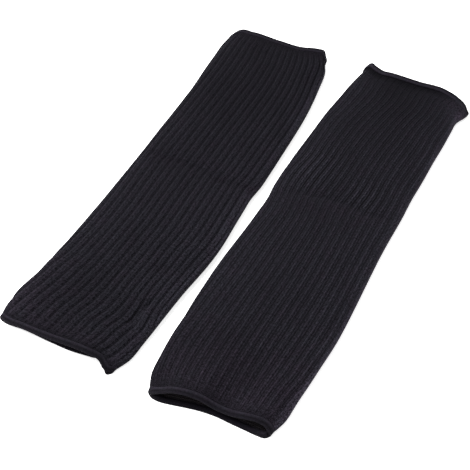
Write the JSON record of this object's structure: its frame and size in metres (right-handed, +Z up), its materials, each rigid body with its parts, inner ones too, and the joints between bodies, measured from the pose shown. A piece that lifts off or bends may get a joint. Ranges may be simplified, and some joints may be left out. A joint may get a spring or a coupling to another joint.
{
  "type": "pair of cut-resistant sleeves",
  "caption": "Soft ribbed knit tubes, open at both ends with rolled welts, lying flat side by side; worn over the forearms to guard the skin against cuts.",
  "frame": {"origin": "on the surface that the sleeves lie on, under the middle of the pair's bounding box", "axes": "+Y along the sleeves towards the ends that are farther away in the picture, +X from the sleeve lying knit side out to the one lying inside out, +Z up off the surface"},
  "size_m": [0.2376, 0.4092, 0.0173],
  "materials": {
    "knitted_cloth": "matt charcoal rib knit",
    "rolled_welt": "matt charcoal smooth knit, a little lighter on its crest"
  },
  "bodies": {
    "root": {"left_tube": "knitted_cloth", "left_welt_near": "rolled_welt", "left_welt_far": "rolled_welt", "right_tube": "knitted_cloth", "right_welt_near": "rolled_welt", "right_welt_far": "rolled_welt"}
  },
  "joints": []
}
